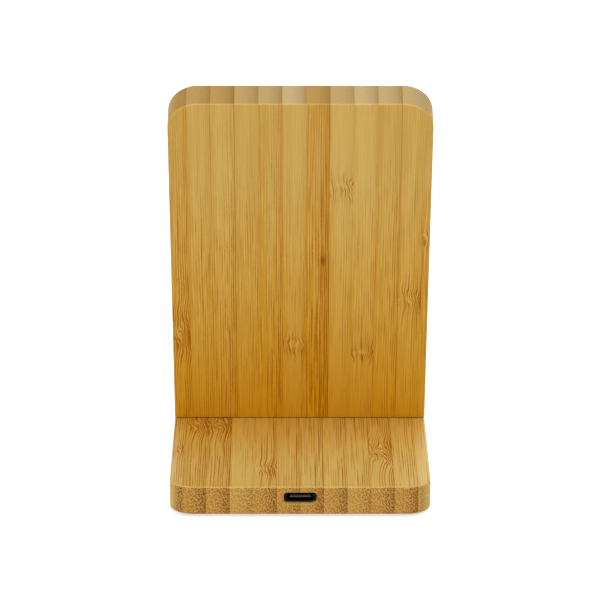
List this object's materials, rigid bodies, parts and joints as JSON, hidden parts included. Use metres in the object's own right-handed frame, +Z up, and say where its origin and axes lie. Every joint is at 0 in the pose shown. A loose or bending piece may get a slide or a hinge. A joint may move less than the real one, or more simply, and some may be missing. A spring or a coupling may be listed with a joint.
{
  "type": "wireless charging stand",
  "caption": "Bamboo phone charging stand: a leaning backrest with coils inside, on a flat base with a rear USB-C inlet and a front shelf with a low lip.",
  "frame": {"origin": "on the table, under the middle of the stand's outline", "axes": "+Z up, +Y towards the user, where the phone stands; the USB-C inlet faces -Y; +X across the width"},
  "size_m": [0.075, 0.0812, 0.1218],
  "materials": {
    "bamboo": "edge-glued honey bamboo, oiled, satin",
    "dowel_wood": "plain turned hardwood",
    "silicone": "matt black silicone",
    "screw_steel": "zinc-plated steel",
    "cover_plastic": "fine spark-textured moulding",
    "black_plastic": "moulded black resin",
    "tray_plastic": "white moulding",
    "board_laminate": "green solder mask",
    "shell_steel": "dark-plated drawn steel",
    "ceramic": "brown sintered ceramic",
    "ferrite": "sintered dark grey ferrite",
    "litz_copper": "enamelled copper litz"
  },
  "bodies": {
    "root": {"base_board": "bamboo", "backrest_board": "bamboo", "front_cover": "bamboo", "phone_lip": "bamboo", "shelf_pad": "silicone", "dowel_left": "dowel_wood", "dowel_right": "dowel_wood", "backrest_screw_left": "screw_steel", "backrest_screw_right": "screw_steel", "base_cover": "cover_plastic", "cover_screw_1": "screw_steel", "cover_screw_2": "screw_steel", "cover_screw_3": "screw_steel", "cover_screw_4": "screw_steel", "foot_1": "silicone", "foot_2": "silicone", "foot_3": "silicone", "foot_4": "silicone", "main_board": "board_laminate", "board_screw_1": "screw_steel", "board_screw_2": "screw_steel", "board_screw_3": "screw_steel", "board_screw_4": "screw_steel", "usb_c_shell": "shell_steel", "usb_c_tongue": "black_plastic", "control_chip": "black_plastic", "power_switch_1": "black_plastic", "power_switch_2": "black_plastic", "power_switch_3": "black_plastic", "power_switch_4": "black_plastic", "power_inductor": "ferrite", "input_capacitor_1": "ceramic", "input_capacitor_2": "ceramic", "resonant_capacitor_1": "ceramic", "resonant_capacitor_2": "ceramic", "resonant_capacitor_3": "ceramic", "resonant_capacitor_4": "ceramic", "coil_carrier": "tray_plastic", "lower_ferrite": "ferrite", "upper_ferrite": "ferrite", "lower_coil": "litz_copper", "upper_coil": "litz_copper"}
  },
  "joints": []
}
